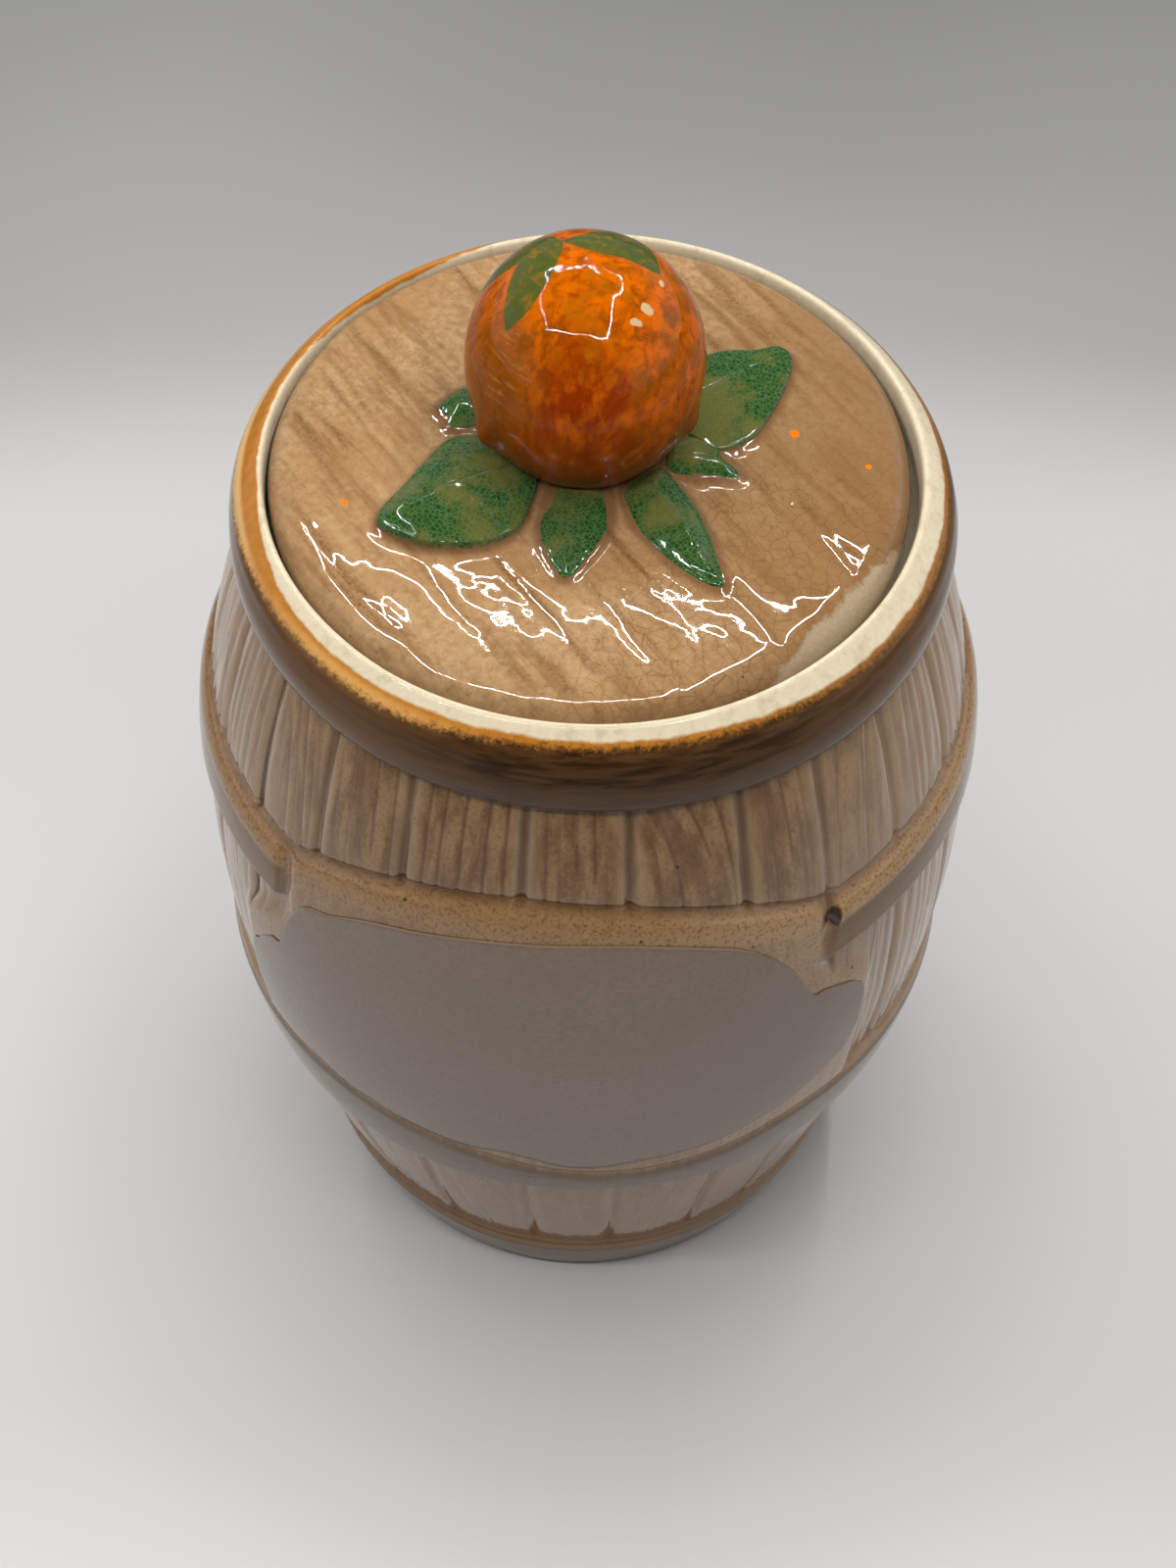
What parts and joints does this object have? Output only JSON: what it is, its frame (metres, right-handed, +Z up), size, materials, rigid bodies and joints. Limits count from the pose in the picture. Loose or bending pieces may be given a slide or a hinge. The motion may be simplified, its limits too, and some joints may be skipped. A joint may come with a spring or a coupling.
{
  "type": "marmalade jar",
  "caption": "Barrel-shaped glazed earthenware preserve jar with a recessed lift-off lid, an orange fruit knob in green relief leaves and a blank label panel.",
  "frame": {"origin": "middle of the flat base that the jar stands on", "axes": "+Z up along the barrel's axis, -Y out of the middle of the label panel, +X to the right seen from the label side"},
  "size_m": [0.0977, 0.099, 0.1605],
  "materials": {
    "tan_glaze": "gloss",
    "label_ground": "satin",
    "lid_glaze": "gloss",
    "orange_glaze": "gloss",
    "green_glaze": "gloss"
  },
  "bodies": {
    "jar": {"jar_body": "tan_glaze", "label_transfer": "label_ground"},
    "lid": {"lid_plate": "lid_glaze", "orange_knob": "orange_glaze", "leaf_large_left": "green_glaze", "leaf_small_left": "green_glaze", "leaf_front": "green_glaze", "leaf_front_right": "green_glaze", "leaf_small_right": "green_glaze", "leaf_large_right": "green_glaze"}
  },
  "joints": [
    {"name": "lid_lift", "type": "slide", "parent": "jar", "child": "lid", "axis": [0, 0, 1], "range_m": [0, 0.08]}
  ]
}
